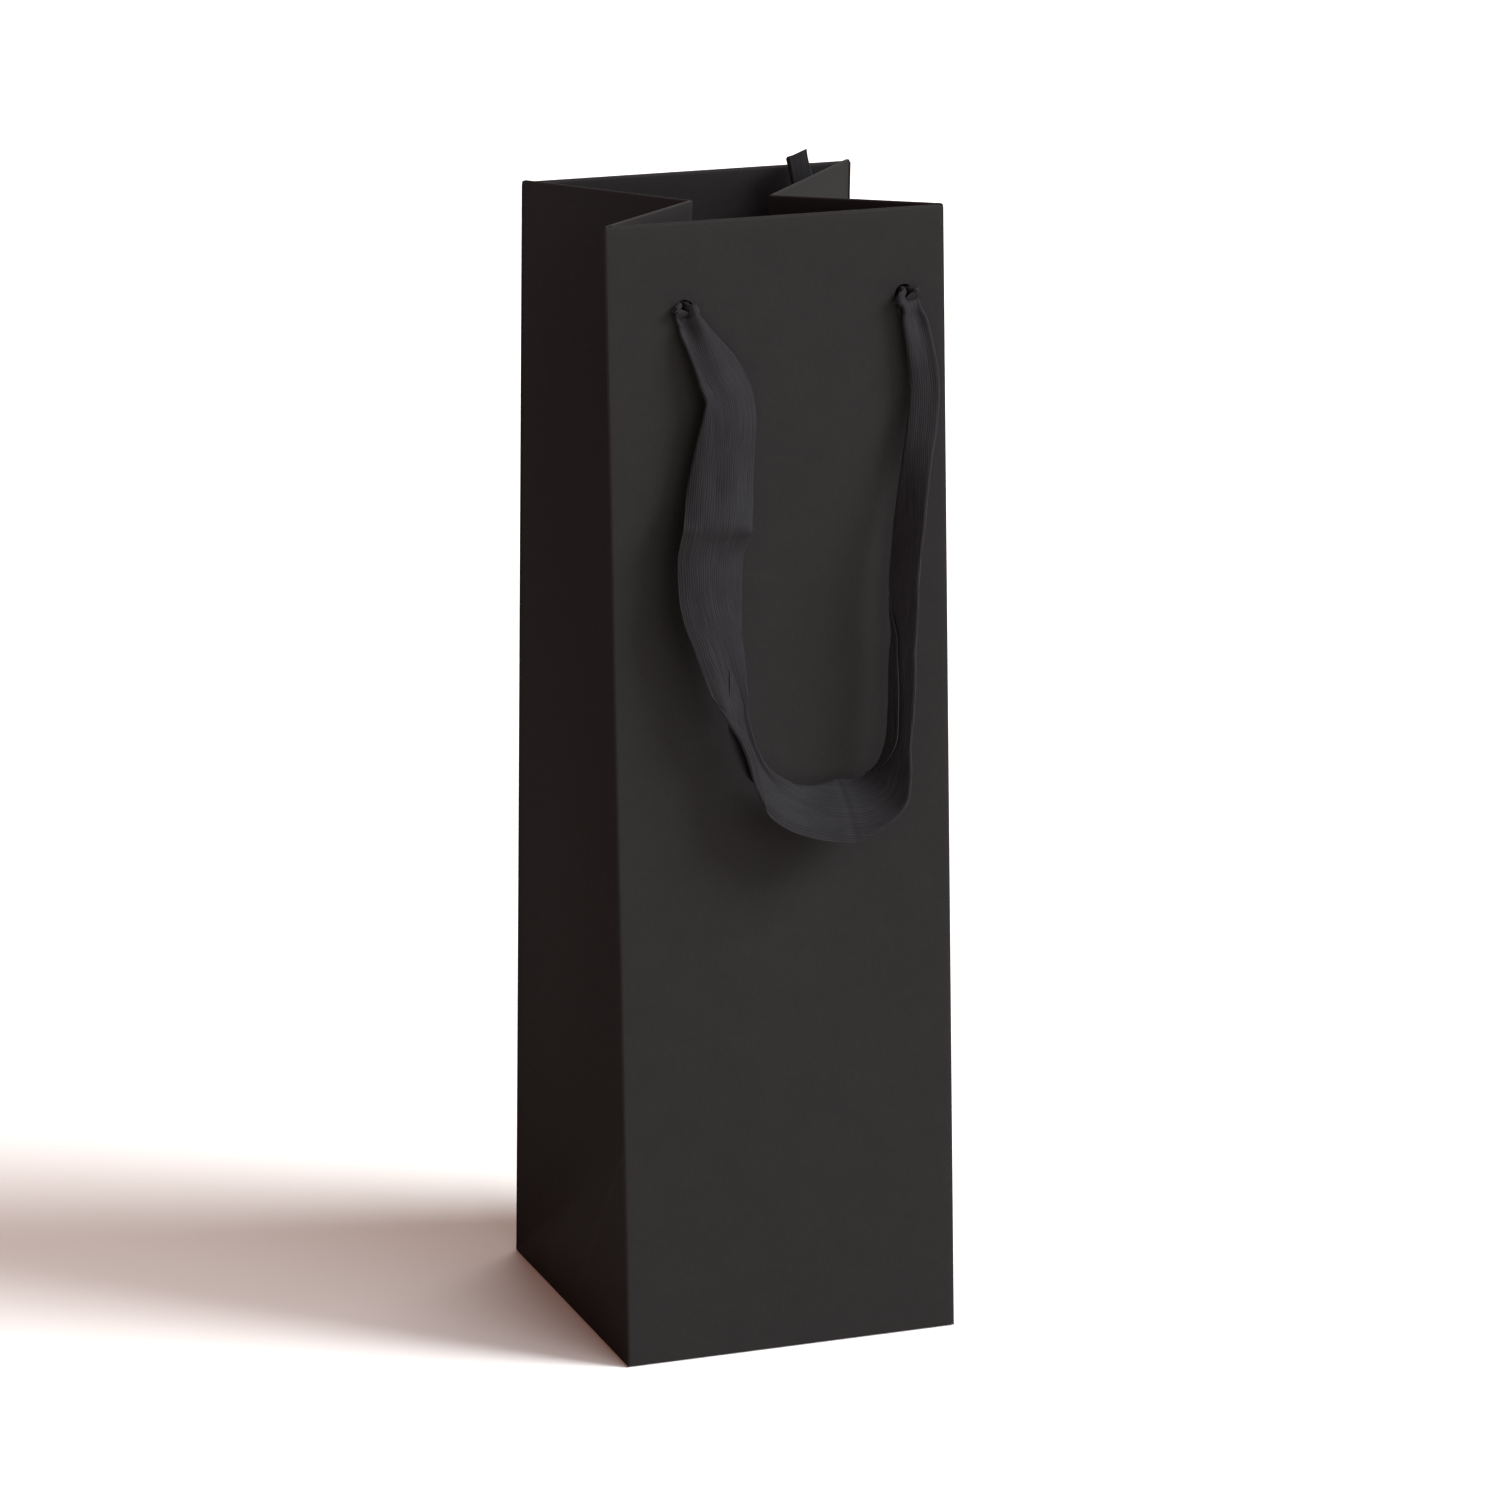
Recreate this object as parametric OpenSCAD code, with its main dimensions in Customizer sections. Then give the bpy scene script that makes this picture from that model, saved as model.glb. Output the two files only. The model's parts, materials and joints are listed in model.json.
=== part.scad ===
// Gift bag for one wine bottle: a folded matt paper sheet, two stiffening cards, a loose
// base board and two knotted ribbon handles. Millimetres.
// Frame: origin at the centre of the bottom face, +X right, -Y front, +Z up.
// The bag stands with its mouth part closed: both gussets are folded in and both walls lean in.

/* [Bag] */
// Width of the front and rear walls
bag_w = 110; // [100:1:130]
// Depth of the bottom, and width of each whole gusset
bag_d = 115; // [105:1:125]
// Height of the walls, measured along the paper
bag_h = 360; // [340:1:390]
// Thickness of the paper as modelled
paper_t = 0.5; // [0.3:0.1:0.6]
// Height of the hem turned in at the mouth
hem_h = 38; // [30:1:45]

/* [Mouth] */
// How far the top of each wall leans in
mouth_inset = 17; // [14:1:20]
// How deep the gussets are still folded when the mouth is open
open_pinch = 14; // [12:1:18]

/* [Cards] */
// Thickness of the stiffening cards at the mouth
card_t = 0.8; // [0.5:0.1:1]
// Thickness of the base board
board_t = 1.2; // [0.8:0.1:1.5]

/* [Ribbon] */
// Diameter of the punched ribbon holes
hole_d = 6; // [5:0.5:7]
// Height of the holes along the wall
hole_h = 333.5; // [325:0.5:336]
// Left hole, across the wall from its middle
hole_left = -30; // [-34:1:-26]
// Right hole, across the wall from its middle
hole_right = 41.5; // [36:0.5:42]
// Width of the ribbon band
band_w = 12; // [8:1:14]
// Thickness of the ribbon band
band_t = 1.2; // [0.8:0.1:1.4]
// Radius of the knots
knot_r = 3.9; // [3:0.1:4]

/* [Hidden] */
$fn = 48;

half_w = bag_w / 2;
half_d = bag_d / 2;
// Gap between glued layers, and between a part and what it moves past
layer_gap = 0.05;
run_gap = 0.3;
// Lean of the walls and depth of the gusset fold at the mouth
lean = asin(mouth_inset / bag_h);
rest_pinch = sqrt(pow(half_d, 2) - pow(half_d - mouth_inset, 2));
open_inset = half_d - sqrt(pow(half_d, 2) - pow(open_pinch, 2));

// One quarter of the mouth, seen from the bottom corner that its crease rises from:
// +X and +Y point into the bag. The gusset half turns about an axis through that corner.
function at_height(x, y, off) = [x, y, sqrt(pow(bag_h, 2) - pow(off, 2))];
rest_corner = at_height(0, mouth_inset, mouth_inset);
rest_tip = at_height(rest_pinch, half_d, rest_pinch);
open_corner = at_height(0, open_inset, open_inset);
open_tip = at_height(open_pinch, half_d, open_pinch);
function unit(v) = v / norm(v);
turn_axis = unit(cross(open_tip - rest_tip, open_corner - rest_corner));
turn_radius = norm(cross(turn_axis, rest_corner));
turn = 2 * asin(norm(open_corner - rest_corner) / (2 * turn_radius));

// The middle crease is the line that stays in the middle plane at both ends of the turn
side_way = [0, 1, 0];
side_back = side_way * cos(turn) - cross(turn_axis, side_way) * sin(turn)
    + turn_axis * (turn_axis * side_way) * (1 - cos(turn));
crease_way = unit(cross(side_back, side_way));
crease_slope = crease_way[0] / crease_way[2];
function crease_pinch(z) = rest_pinch - (rest_tip[2] - z) * crease_slope;
// The foot triangle is half the gusset high, and leans in to meet the middle crease
foot_pinch = crease_pinch(half_d * 0.94);
foot_lean = asin(foot_pinch / half_d);
foot_top = [foot_pinch, half_d, sqrt(pow(half_d, 2) - pow(foot_pinch, 2))];

// A gusset half is ruled by straight lines from its wall crease to the middle crease
function rung_start(k) = rest_corner * k;
function rung_end(k) = foot_top * (1 - k) + rest_tip * k;
function on_rung(k, f) = rung_start(k) * (1 - f) + rung_end(k) * f;
function inward(k, f) = unit(cross(rung_end(k) - rung_start(k), on_rung(k + 0.01, f) - on_rung(k, f)));
// How far a gusset half stays off its two creases, so that nothing meets as the mouth opens
edge_gap = 1.8;
middle_gap = 3.0;
gusset_rungs = 14;
gusset_steps = 5;

// The hem is a layer behind the card, which is behind the wall
card_y = paper_t + layer_gap;
hem_y = card_y + card_t + layer_gap;
hem_t = 0.3;
hem_side_gap = 5;
// The floor of the bag in layers, from the bottom up
flap_t = 0.4;
flap_step = flap_t + layer_gap;
board_z = 3 * flap_step + run_gap;
board_lift = 6;
flap_overlap = 20;
// Where the ribbon band hangs in front of the wall: its middle is the hinge line
band_y = 2.0;

// Middle line of the hanging ribbon across the wall, as distance from the middle and height below the holes
BAND = [[hole_left, 0], [hole_left + 6, -12], [-17, -32], [-19, -62], [-22, -94], [-19, -126],
    [-12, -149], [2, -163], [19, -168], [31, -162], [38, -148], [41, -115], [42, -83],
    [44, -52], [44, -28], [hole_right, 0]];

module paper(dark = false) {
    color(dark ? "#241a18" : "#343234") children();
}

module on_front_wall() {
    translate([0, -half_d, 0])
        rotate([-lean, 0, 0])
            children();
}

module on_rear_wall() {
    mirror([0, 1, 0])
        on_front_wall()
            children();
}

module panel(x0, x1, z0, z1, y, t) {
    translate([x0, y, z0])
        cube([x1 - x0, t, z1 - z0]);
}

module ribbon_holes(clear = 0) {
    for (x = [hole_left, hole_right])
        translate([x, -1, hole_h])
            rotate([-90, 0, 0])
                cylinder(d = hole_d + clear, h = 5);
}

module wall_panel() {
    difference() {
        panel(-half_w + run_gap, half_w - run_gap, run_gap, bag_h, 0, paper_t);
        ribbon_holes();
    }
}

module card_panel() {
    difference() {
        panel(-half_w + hem_side_gap, half_w - hem_side_gap, bag_h - hem_h + 4, bag_h - 1, card_y, card_t);
        ribbon_holes(1);
    }
}

module hem_panel() {
    difference() {
        panel(-half_w + hem_side_gap, half_w - hem_side_gap, bag_h - hem_h, bag_h - 0.5, hem_y, hem_t);
        ribbon_holes(1);
    }
}

module front_wall() { paper() on_front_wall() wall_panel(); }
module rear_wall() { paper() on_rear_wall() wall_panel(); }
module front_top_hem() { paper() on_front_wall() hem_panel(); }
module rear_top_hem() { paper() on_rear_wall() hem_panel(); }
module front_stiffening_card() { color("#b9aa92") on_front_wall() card_panel(); }
module rear_stiffening_card() { color("#b9aa92") on_rear_wall() card_panel(); }

// The glued side seam is a strip along the left edge of the rear wall, on its inner face
module seam_flap() {
    paper() on_rear_wall()
        panel(-half_w + 4, -half_w + 18, 4, bag_h - hem_h - 1, paper_t + layer_gap, hem_t);
}

// A thin sheet over rungs k0 to k1 and over steps f0 to f1 of each rung, from depth d0 to d1
module ruled_sheet(k0, k1, f0, f1, d0, d1, rungs) {
    cols = gusset_steps + 1;
    layer = (rungs + 1) * cols;
    pts = [for (d = [d0, d1]) for (i = [0:rungs]) for (j = [0:gusset_steps])
        let (k = k0 + (k1 - k0) * i / rungs, f = f0 + (f1 - f0) * j / gusset_steps)
        on_rung(k, f) + inward(k, f) * d];
    function quad(a, b, c, d) = [[a, b, c], [a, c, d]];
    faces = [
        for (i = [0:rungs - 1]) for (j = [0:gusset_steps - 1])
            let (a = i * cols + j, b = a + 1, c = b + cols, d = a + cols)
            each concat(quad(a, b, c, d), quad(layer + a, layer + d, layer + c, layer + b)),
        for (i = [0:rungs - 1])
            let (a = i * cols, d = a + cols, e = a + gusset_steps, g = e + cols)
            each concat(quad(a, d, layer + d, layer + a), quad(g, e, layer + e, layer + g)),
        for (j = [0:gusset_steps - 1])
            let (a = j, b = j + 1, c = rungs * cols + j, d = c + 1)
            each concat(quad(b, a, layer + a, layer + b), quad(c, d, layer + d, layer + c))];
    translate([-half_w, -half_d, 0])
        polyhedron(points = pts, faces = faces, convexity = 4);
}

module gusset_half() {
    ruled_sheet(0.012, 0.9985, edge_gap / half_d, 1 - middle_gap / half_d, 0, paper_t, gusset_rungs);
}

module gusset_hem() {
    hem_depth = paper_t + run_gap;
    ruled_sheet(1 - hem_h / bag_h, 0.997, hem_side_gap / half_d + 0.02, 1 - (middle_gap + 1) / half_d,
        hem_depth, hem_depth + hem_t, 3);
}

module at_quarter(right, rear) {
    mirror([right ? 1 : 0, 0, 0])
        mirror([0, rear ? 1 : 0, 0])
            children();
}

module gusset_front_left() { paper(true) at_quarter(false, false) gusset_half(); }
module gusset_front_right() { paper(true) at_quarter(true, false) gusset_half(); }
module gusset_rear_left() { paper(true) at_quarter(false, true) gusset_half(); }
module gusset_rear_right() { paper(true) at_quarter(true, true) gusset_half(); }
module gusset_hem_front_left() { paper(true) at_quarter(false, false) gusset_hem(); }
module gusset_hem_front_right() { paper(true) at_quarter(true, false) gusset_hem(); }
module gusset_hem_rear_left() { paper(true) at_quarter(false, true) gusset_hem(); }
module gusset_hem_rear_right() { paper(true) at_quarter(true, true) gusset_hem(); }

// Triangle between the two diagonal creases at the bottom of a gusset
module gusset_foot() {
    rise = half_d - 1.6;
    translate([-half_w, 0, 0])
        rotate([0, foot_lean, 0])
            rotate([90, 0, 90])
                linear_extrude(paper_t)
                    polygon([[-rise + run_gap, run_gap], [rise - run_gap, run_gap], [0, rise]]);
}

module gusset_foot_left() { paper(true) gusset_foot(); }
module gusset_foot_right() { paper(true) mirror([1, 0, 0]) gusset_foot(); }

// Glued flaps under the base board; the front and rear ones are outermost
module floor_flap(x0, x1, y0, y1, z) {
    translate([x0, y0, z])
        cube([x1 - x0, y1 - y0, flap_t]);
}

flap_x = half_w - 1.3;
flap_y = half_d - 1.0;
module bottom_flap_front() { paper() floor_flap(-flap_x, flap_x, -flap_y, flap_overlap, 0); }
module bottom_flap_rear() { paper() floor_flap(-flap_x, flap_x, -flap_overlap, flap_y, flap_step); }
module bottom_flap_left() { paper(true) floor_flap(-flap_x, -8, -flap_y, flap_y, 2 * flap_step); }
module bottom_flap_right() { paper(true) floor_flap(8, flap_x, -flap_y, flap_y, 2 * flap_step); }

// Loose board on the bottom; it stays clear of the leaning feet over its whole lift
module base_board() {
    reach = board_z + board_t + board_lift;
    bx = half_w - paper_t - 2 * run_gap - reach * tan(foot_lean);
    by = half_d - 1.5;
    cut = 5;
    color("#b9aa92")
        translate([0, 0, board_z])
            linear_extrude(board_t)
                polygon([[-bx + cut, -by], [bx - cut, -by], [bx, -by + cut], [bx, by - cut],
                    [bx - cut, by], [-bx + cut, by], [-bx, by - cut], [-bx, -by + cut]]);
}

// Band of even width along BAND, narrowed to half_end where it is gathered at the holes
half_end = 2.2;
function band_half(i) = i == 0 || i == len(BAND) - 1 ? half_end : i == 1 ? band_w / 3 : band_w / 2;
function band_dir(i) = unit(BAND[min(i + 1, len(BAND) - 1)] - BAND[max(i - 1, 0)]);
function band_edge(i, side) = BAND[i] + side * band_half(i) * [-band_dir(i)[1], band_dir(i)[0]];
module handle_band() {
    last = len(BAND) - 1;
    outline = concat([for (i = [0:last]) band_edge(i, 1)], [for (i = [last:-1:0]) band_edge(i, -1)]);
    translate([0, band_t / 2 - band_y, hole_h])
        rotate([90, 0, 0])
            linear_extrude(band_t)
                intersection() {
                    polygon(outline);
                    translate([-half_w, -bag_h])
                        square([bag_w, bag_h + band_t / 2]);
                }
}

module front_handle() { color("#323135") on_front_wall() handle_band(); }
module rear_handle() { color("#323135") on_rear_wall() handle_band(); }

// Knot behind the wall, the gathered ribbon through the hole, and the cut tail past the knot
module knot(x, tail_turn, tail_l) {
    knot_y = hem_y + hem_t + knot_r + 0.1;
    tail_w = 8;
    tail_t = 1;
    translate([x, 0, hole_h]) {
        translate([0, knot_y, 0])
            sphere(r = knot_r);
        translate([0, -0.7, 0])
            rotate([-90, 0, 0])
                cylinder(d = hole_d - 1.5, h = knot_y);
        translate([0, knot_y - tail_t / 2, 0])
            rotate([0, tail_turn, 0])
                translate([-tail_w / 2, 0, 0])
                    cube([tail_w, tail_t, tail_l]);
    }
}

tail_long = 29.5;
tail_short = 22;
module front_knot_left() { color("#323135") on_front_wall() knot(hole_left, 172, tail_short); }
module front_knot_right() { color("#323135") on_front_wall() knot(hole_right, 186, tail_short); }
module rear_knot_left() { color("#323135") on_rear_wall() knot(hole_left, 176, tail_short); }
module rear_knot_right() { color("#323135") on_rear_wall() knot(hole_right, -14, tail_long); }

front_wall();
rear_wall();
front_top_hem();
rear_top_hem();
front_stiffening_card();
rear_stiffening_card();
gusset_front_left();
gusset_front_right();
gusset_rear_left();
gusset_rear_right();
gusset_hem_front_left();
gusset_hem_front_right();
gusset_hem_rear_left();
gusset_hem_rear_right();
gusset_foot_left();
gusset_foot_right();
seam_flap();
bottom_flap_front();
bottom_flap_rear();
bottom_flap_left();
bottom_flap_right();
base_board();
front_handle();
rear_handle();
front_knot_left();
front_knot_right();
rear_knot_left();
rear_knot_right();
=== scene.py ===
"""Gift bag for one wine bottle, in matt charcoal paper with two ribbon handles. Metres."""

import json
import math

import bpy
import numpy as np
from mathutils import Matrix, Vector


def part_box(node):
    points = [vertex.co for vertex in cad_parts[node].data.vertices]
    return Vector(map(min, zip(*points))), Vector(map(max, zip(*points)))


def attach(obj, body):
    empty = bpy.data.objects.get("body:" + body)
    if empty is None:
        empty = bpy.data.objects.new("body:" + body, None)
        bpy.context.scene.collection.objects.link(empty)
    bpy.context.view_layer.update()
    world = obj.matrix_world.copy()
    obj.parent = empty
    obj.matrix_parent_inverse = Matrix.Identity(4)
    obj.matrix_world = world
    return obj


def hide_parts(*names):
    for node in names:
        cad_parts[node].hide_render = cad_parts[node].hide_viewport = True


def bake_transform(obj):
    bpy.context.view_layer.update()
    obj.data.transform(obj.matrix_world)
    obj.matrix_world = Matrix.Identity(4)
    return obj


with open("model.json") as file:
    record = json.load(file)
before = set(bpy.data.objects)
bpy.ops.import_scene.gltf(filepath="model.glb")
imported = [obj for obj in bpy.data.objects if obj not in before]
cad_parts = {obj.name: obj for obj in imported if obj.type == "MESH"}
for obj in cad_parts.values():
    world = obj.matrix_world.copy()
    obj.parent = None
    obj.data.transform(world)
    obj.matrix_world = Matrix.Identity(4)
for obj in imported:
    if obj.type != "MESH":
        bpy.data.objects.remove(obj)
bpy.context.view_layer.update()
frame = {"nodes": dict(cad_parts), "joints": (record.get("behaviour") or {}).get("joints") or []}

# ---------------------------------------------------------------- sizes, from the frame
MM = 0.001
joints = {joint["name"]: joint for joint in frame["joints"]}
corner_hinge = joints["gusset_front_left_fold"]["pos_m"]
HALF_W = -corner_hinge[0]
HALF_D = -corner_hinge[1]
CAD_PAPER = 0.5 * MM
wall_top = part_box("front_wall")[1]
LEAN = math.atan2(wall_top.y + HALF_D - CAD_PAPER, wall_top.z)
WALL_H = wall_top.z / math.cos(LEAN)
INSET = WALL_H * math.sin(LEAN)
HEM_H = WALL_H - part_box("front_top_hem")[0].z / math.cos(LEAN)
foot_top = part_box("gusset_foot_left")[1]
FOOT_LEAN = math.atan2(foot_top.x + HALF_W - CAD_PAPER, foot_top.z)
swing_pos = joints["front_handle_swing"]["pos_m"]
HOLE_S = (swing_pos[1] + HALF_D) * math.sin(LEAN) + swing_pos[2] * math.cos(LEAN)
# The holes are off centre, as in the photo
HOLES = {"left": -30.0 * MM, "right": 41.5 * MM}
HOLE_R = 3.0 * MM

# The paper's thickness, and the radius of its folds over the mouth and round the upright corners
PAPER = 0.4 * MM
FOLD_R = 0.75 * MM
EDGE_R = 0.6 * MM

RIBBON = 0.35 * MM
RIBBON_W = 22 * MM
# How soft a margin's fold is, as a share of half the ribbon's width, and the pleats at a hole: the
# waves across the ribbon, and their phase in radians
FOLD_SOFT = 0.16
PLEATS = 2.0
PLEAT_PHASE = 0.5


# ---------------------------------------------------------------- camera, lights, floor
def direction(azimuth, elevation):
    """Unit vector from the bag towards a place at that azimuth (0 is in front, + is right)."""
    a, e = math.radians(azimuth), math.radians(elevation)
    return Vector((math.sin(a) * math.cos(e), -math.cos(a) * math.cos(e), math.sin(e)))


def aim(obj, place, target):
    """Puts a camera or a light at that place, looking at the target."""
    obj.location = place
    obj.rotation_euler = (Vector(target) - Vector(place)).to_track_quat("-Z", "Y").to_euler()
    bpy.context.scene.collection.objects.link(obj)


# Fitted to the seven corners of the bag that the photo shows
LENS = 152.67
CAMERA_TARGET = Vector((0.0003, -0.0167, 0.1851))
CAMERA_AZIMUTH, CAMERA_ELEVATION = -20.006, 15.59
CAMERA_AWAY = 2.0
LIGHTS_AWAY = 2.4


def make_camera():
    data = bpy.data.cameras.new("camera")
    data.sensor_width = 36
    data.lens = LENS
    data.clip_start = 0.05
    data.clip_end = 60
    camera = bpy.data.objects.new("camera", data)
    place = CAMERA_TARGET + CAMERA_AWAY * direction(CAMERA_AZIMUTH, CAMERA_ELEVATION)
    aim(camera, place, CAMERA_TARGET)
    bpy.context.scene.camera = camera


def light(name, kind, azimuth, elevation, power, colour, size):
    """A light at that angle. size is a sun's width in degrees, or an area light's side in metres."""
    data = bpy.data.lights.new(name, kind)
    data.energy = power
    data.color = colour
    if kind == "SUN":
        data.angle = math.radians(size)
    else:
        data.size = size
    target = Vector((0, 0, WALL_H / 2))
    aim(bpy.data.objects.new(name, data), target + LIGHTS_AWAY * direction(azimuth, elevation), target)


def make_lights():
    light("key", "SUN", 60, 36, 5.4, (0.90, 0.97, 1.0), 24)
    light("front_fill", "AREA", 22, 30, 46, (0.93, 0.96, 1.0), 2.2)
    light("warm_fill", "AREA", -100, 22, 6.2, (1.0, 0.25, 0.16), 1.6)
    light("back_fill", "AREA", 148, 30, 26, (1.0, 0.97, 0.95), 2.2)
    world = bpy.data.worlds.new("studio")
    world.use_nodes = True
    sky = world.node_tree.nodes["Background"]
    sky.inputs["Color"].default_value = (1.0, 0.60, 0.46, 1)
    sky.inputs["Strength"].default_value = 0.17
    bpy.context.scene.world = world
    bpy.context.scene.view_settings.view_transform = "Standard"


# ---------------------------------------------------------------- material helpers
class Nodes:
    """Short calls for a material's node tree."""

    def __init__(self, name):
        self.material = bpy.data.materials.new(name)
        self.material.use_nodes = True
        self.tree = self.material.node_tree
        self.shader = self.tree.nodes["Principled BSDF"]

    def add(self, kind, **values):
        node = self.tree.nodes.new(kind)
        for key, value in values.items():
            if key in node.inputs:
                node.inputs[key].default_value = value
            else:
                setattr(node, key, value)
        return node

    def join(self, out, into):
        self.tree.links.new(out, into)

    def place(self):
        return self.add("ShaderNodeTexCoord").outputs["Object"]

    def stretched(self, source, scale):
        node = self.add("ShaderNodeMapping")
        node.inputs["Scale"].default_value = scale
        self.join(source, node.inputs["Vector"])
        return node.outputs["Vector"]

    def noise(self, source, scale, detail=3.0, rough=0.55):
        node = self.add("ShaderNodeTexNoise", Scale=scale, Detail=detail, Roughness=rough)
        self.join(source, node.inputs["Vector"])
        return node.outputs["Fac"]

    def attribute(self, name, output="Fac"):
        return self.add("ShaderNodeAttribute", attribute_name=name).outputs[output]

    def ramp(self, source, stops):
        node = self.add("ShaderNodeValToRGB")
        elements = node.color_ramp.elements
        while len(elements) < len(stops):
            elements.new(0.5)
        for element, (place, colour) in zip(elements, stops):
            element.position = place
            element.color = (*colour, 1)
        self.join(source, node.inputs["Fac"])
        return node.outputs["Color"]

    def maths(self, operation, a, b):
        node = self.add("ShaderNodeMath", operation=operation)
        for socket, value in zip(node.inputs, (a, b)):
            if isinstance(value, (int, float)):
                socket.default_value = value
            else:
                self.join(value, socket)
        return node.outputs[0]

    def mix(self, kind, amount, a, b):
        node = self.add("ShaderNodeMix", data_type="RGBA", blend_type=kind)
        for index, value in ((0, amount), (6, a), (7, b)):
            if isinstance(value, (int, float)):
                node.inputs[index].default_value = value
            elif isinstance(value, tuple):
                node.inputs[index].default_value = (*value, 1)
            else:
                self.join(value, node.inputs[index])
        return node.outputs[2]

    def bump(self, height, distance, strength=1.0, below=None):
        node = self.add("ShaderNodeBump", Strength=strength, Distance=distance)
        self.join(height, node.inputs["Height"])
        if below is not None:
            self.join(below, node.inputs["Normal"])
        return node.outputs["Normal"]

    def finish(self, colour, normal, rough, specular, sheen=0.0):
        shader = self.shader
        self.join(colour, shader.inputs["Base Color"])
        self.join(normal, shader.inputs["Normal"])
        if isinstance(rough, float):
            shader.inputs["Roughness"].default_value = rough
        else:
            self.join(rough, shader.inputs["Roughness"])
        shader.inputs["Specular IOR Level"].default_value = specular
        shader.inputs["Sheen Weight"].default_value = sheen
        shader.inputs["Sheen Roughness"].default_value = 0.4
        return self.material


def paper_material(name, dark, light):
    """Matt coloured paper: cloudy formation, short fibres, and paler creases, partly rubbed wear and partly
    a painted highlight on the folds and edges.
    """
    n = Nodes(name)
    place = n.place()
    clouds = n.noise(place, 90, 6.0, 0.65)
    fibres = n.noise(n.stretched(place, (1.0, 1.0, 0.35)), 1500, 3.0, 0.6)
    flecks = n.noise(place, 3200, 1.0)
    base = n.ramp(clouds, [(0.32, dark), (0.68, light)])
    tinted = n.mix("MULTIPLY", 0.35, base, n.ramp(fibres, [(0.3, (0.80,) * 3), (0.7, (1.12,) * 3)]))
    # Paler colour at the creases: rubbed wear, and a painted highlight where the rounded folds and edges
    # catch the light.
    rubbed_and_highlit = n.maths("MULTIPLY", n.attribute("crease"), n.maths("ADD", n.noise(place, 420, 4.0), 0.25))
    colour = n.mix("MIX", n.maths("MULTIPLY", rubbed_and_highlit, 0.34), tinted, (0.028, 0.023, 0.021))
    grain = n.bump(fibres, 0.00006, 0.55)
    grain = n.bump(flecks, 0.00003, 0.4, grain)
    grain = n.bump(clouds, 0.00035, 0.35, grain)
    rough = n.maths("ADD", n.maths("MULTIPLY", clouds, 0.16), 0.58)
    return n.finish(colour, grain, rough, 0.06)


def ribbon_material():
    """Fine woven ribbon: lengthwise ribs that drift a little, with a soft watered sheen."""
    n = Nodes("ribbon")
    woven = n.attribute("weave", "Vector")
    drift = n.noise(n.stretched(woven, (140, 55, 1)), 1.0, 2.0)
    bent = n.add("ShaderNodeVectorMath", operation="MULTIPLY_ADD")
    n.join(n.stretched(drift, (1, 0, 0)), bent.inputs[0])
    bent.inputs[1].default_value = (0.0022, 0, 0)
    n.join(woven, bent.inputs[2])
    ribs = n.add("ShaderNodeTexWave", bands_direction="X", Scale=430.0, Distortion=0.4)
    n.join(n.stretched(bent.outputs[0], (1, 0.012, 1)), ribs.inputs["Vector"])
    streaks = n.noise(n.stretched(bent.outputs[0], (2400, 55, 1)), 1.0, 3.0, 0.6)
    wefts = n.add("ShaderNodeTexWave", bands_direction="Y", Scale=900.0)
    n.join(woven, wefts.inputs["Vector"])
    base = n.ramp(streaks, [(0.30, (0.0082, 0.0072, 0.0080)), (0.70, (0.0186, 0.0164, 0.0182))])
    ribbed = n.mix("MULTIPLY", 0.30, base, ribs.outputs["Color"])
    watered = n.noise(n.stretched(woven, (170, 90, 1)), 1.0, 3.0, 0.5)
    colour = n.mix("MULTIPLY", 0.6, ribbed, n.ramp(watered, [(0.35, (0.86,) * 3), (0.65, (1.15,) * 3)]))
    selvage = n.attribute("selvage")
    colour = n.mix("MIX", n.maths("MULTIPLY", selvage, 0.25), colour, (0.022, 0.020, 0.022))
    relief = n.bump(ribs.outputs["Fac"], 0.00010, 0.5)
    relief = n.bump(streaks, 0.00012, 0.6, relief)
    relief = n.bump(wefts.outputs["Fac"], 0.00003, 0.35, relief)
    rough = n.maths("ADD", n.maths("MULTIPLY", streaks, 0.2), 0.62)
    return n.finish(colour, relief, rough, 0.10, 0.02)


def card_material(name, dark, light):
    """Grey-brown pressed board: short dark and pale fibres in a soft, cloudy pulp."""
    n = Nodes(name)
    place = n.place()
    pulp = n.noise(place, 180, 6.0, 0.65)
    fibres = n.noise(n.stretched(place, (1, 0.25, 1)), 2200, 3.0)
    base = n.ramp(pulp, [(0.3, dark), (0.7, light)])
    specks = n.ramp(n.noise(place, 900, 2.0), [(0.62, (1.0, 1.0, 1.0)), (0.74, (0.55, 0.5, 0.45))])
    colour = n.mix("MULTIPLY", 0.5, base, specks)
    grain = n.bump(pulp, 0.0002, 0.4, n.bump(fibres, 0.00008, 0.5))
    return n.finish(colour, grain, 0.85, 0.2)


def floor_material():
    n = Nodes("floor")
    soft = n.noise(n.place(), 3, 2.0)
    colour = n.ramp(soft, [(0.3, (0.90, 0.86, 0.83)), (0.7, (0.92, 0.88, 0.85))])
    return n.finish(colour, n.bump(soft, 0.0001, 0.1), 0.9, 0.1)


# ---------------------------------------------------------------- mesh helpers
def unit(vectors):
    """The vectors along the last axis, each made 1 long."""
    return vectors / np.maximum(np.linalg.norm(vectors, axis=-1, keepdims=True), 1e-12)


def make_piece(name, verts, faces, material, attributes=(), sharp=35):
    """A mesh object with smooth faces, sharp where it turns by more than that many degrees."""
    mesh = bpy.data.meshes.new(name)
    mesh.from_pydata([tuple(v) for v in verts], [], faces)
    for key, values in attributes:
        kind = "FLOAT_VECTOR" if values.ndim == 2 else "FLOAT"
        field = "vector" if values.ndim == 2 else "value"
        mesh.attributes.new(key, kind, "POINT").data.foreach_set(field, values.astype(np.float32).ravel())
    mesh.polygons.foreach_set("use_smooth", [True] * len(mesh.polygons))
    mesh.validate()
    mesh.set_sharp_from_angle(angle=math.radians(sharp))
    mesh.materials.append(material)
    piece = bpy.data.objects.new(name, mesh)
    bpy.context.scene.collection.objects.link(piece)
    return piece


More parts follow.
